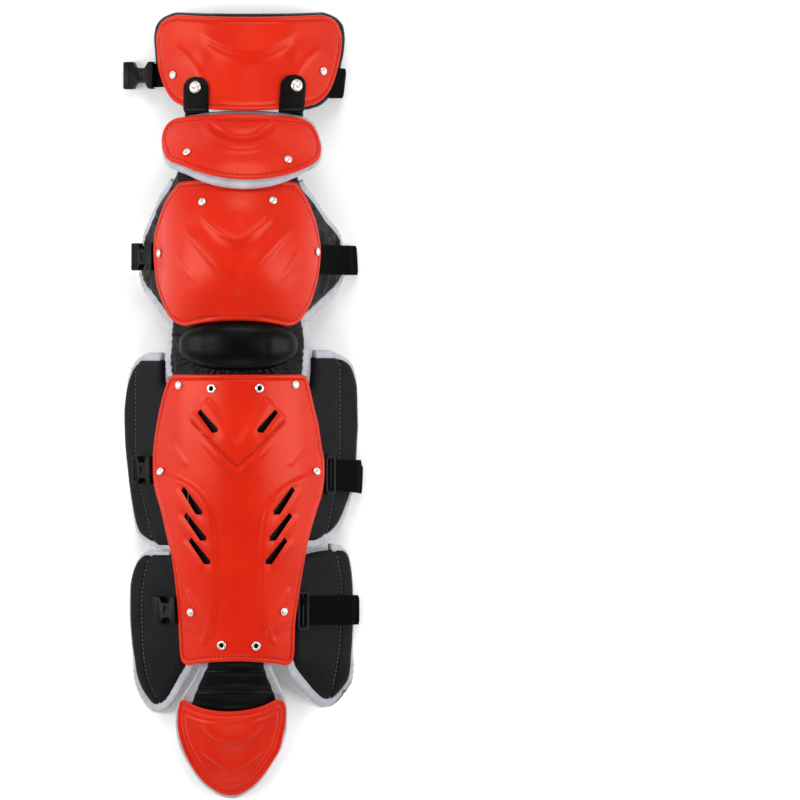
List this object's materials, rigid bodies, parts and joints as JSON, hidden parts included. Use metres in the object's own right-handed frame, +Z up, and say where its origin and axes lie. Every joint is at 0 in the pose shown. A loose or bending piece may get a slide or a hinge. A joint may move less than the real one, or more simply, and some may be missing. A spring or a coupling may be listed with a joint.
{
  "type": "catcher leg guard",
  "caption": "Catcher's leg guard: hard thigh, band, knee, vented shin and toe plates on padded cloth, with padded calf wings and buckled elastic straps, lying on its back.",
  "frame": {"origin": "middle of the footprint, on the floor that the guard lies on", "axes": "+X across the guard to the strap side, +Y from the toe plate to the thigh plate, +Z up, out of the front of the plates"},
  "size_m": [0.2276, 0.7502, 0.1186],
  "materials": {
    "red_plastic": "moulded, satin gloss",
    "black_nylon": "woven nylon over foam",
    "silver_fabric": "gathered silver cloth",
    "charcoal_leather": "fine grain synthetic leather over foam",
    "black_leather": "smooth synthetic leather",
    "black_webbing": "ribbed elastic webbing",
    "black_plastic": "moulded, satin",
    "bright_metal": "nickel plated"
  },
  "bodies": {
    "root": {"thigh_plate": "red_plastic", "band_plate": "red_plastic", "knee_plate": "red_plastic", "shin_plate": "red_plastic", "toe_plate": "red_plastic", "thigh_pad": "black_nylon", "knee_pad": "black_nylon", "shin_pad": "black_nylon", "band_pad": "silver_fabric", "foot_lining": "silver_fabric", "knee_binding_left": "silver_fabric", "knee_binding_right": "silver_fabric", "upper_binding_left": "silver_fabric", "upper_binding_right": "silver_fabric", "lower_binding_left": "silver_fabric", "lower_binding_right": "silver_fabric", "upper_wing_left": "charcoal_leather", "upper_wing_right": "charcoal_leather", "lower_wing_left": "charcoal_leather", "lower_wing_right": "charcoal_leather", "bolster": "black_leather", "ankle_flap": "black_leather", "tab_left": "black_leather", "tab_right": "black_leather", "thigh_strap": "black_webbing", "knee_strap": "black_webbing", "upper_calf_strap": "black_webbing", "lower_calf_strap": "black_webbing", "thigh_web": "black_webbing", "knee_web": "black_webbing", "upper_calf_web": "black_webbing", "lower_calf_web": "black_webbing", "thigh_clasp": "black_plastic", "knee_clasp": "black_plastic", "upper_calf_clasp": "black_plastic", "lower_calf_clasp": "black_plastic", "thigh_buckle": "black_plastic", "knee_buckle": "black_plastic", "upper_calf_buckle": "black_plastic", "lower_calf_buckle": "black_plastic", "thigh_rivet_left": "bright_metal", "thigh_rivet_right": "bright_metal", "tab_snap_left": "bright_metal", "tab_snap_right": "bright_metal", "band_rivet_left": "bright_metal", "band_rivet_right": "bright_metal", "knee_rivet_top_left": "bright_metal", "knee_rivet_top_right": "bright_metal", "knee_rivet_side_left": "bright_metal", "knee_rivet_side_right": "bright_metal", "shin_rivet_top_left": "bright_metal", "shin_rivet_top_right": "bright_metal", "shin_rivet_side_left": "bright_metal", "shin_rivet_side_right": "bright_metal", "shin_rivet_low_left": "bright_metal", "shin_rivet_low_right": "bright_metal", "shin_eyelet_top_left": "bright_metal", "shin_eyelet_top_right": "bright_metal", "shin_eyelet_low_left": "bright_metal", "shin_eyelet_low_right": "bright_metal"}
  },
  "joints": []
}
